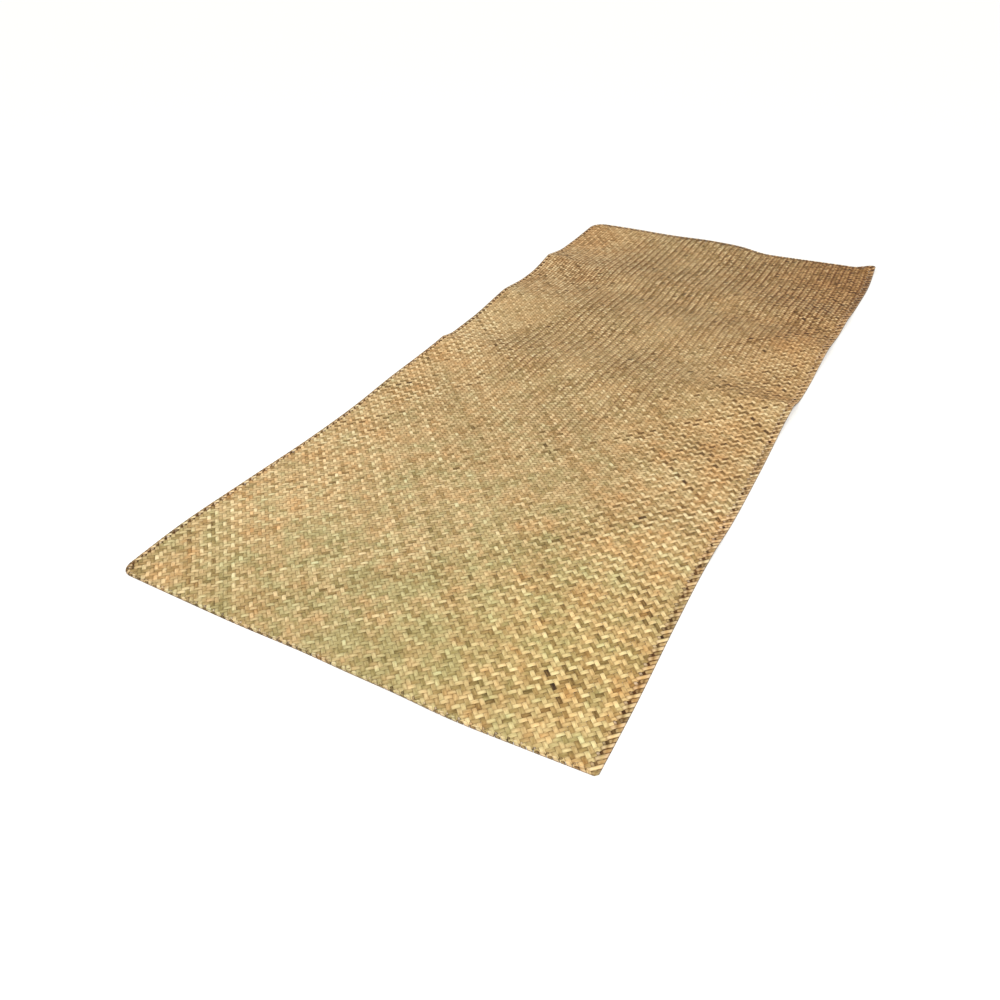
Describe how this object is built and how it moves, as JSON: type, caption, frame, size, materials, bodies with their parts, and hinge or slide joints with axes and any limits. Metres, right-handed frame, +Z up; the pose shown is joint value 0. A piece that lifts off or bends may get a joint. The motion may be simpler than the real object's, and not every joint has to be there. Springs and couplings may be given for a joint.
{
  "type": "woven flax floor mat",
  "caption": "Long rectangular floor mat plaited on the bias from flat dried flax strips, long edges turned back, lying with soft cross folds in its far half.",
  "frame": {"origin": "under the middle of the mat's box, on the floor that the mat lies on", "axes": "+Y along the mat's length, from the flat end to the folded end; +X across it; +Z up, out of the mat's upper side"},
  "size_m": [1.2512, 2.7834, 0.025],
  "materials": {
    "straw": "dry split flax leaf, slightly glossy, light and dull strips mixed"
  },
  "bodies": {
    "root": {"mat": "straw"}
  },
  "joints": []
}
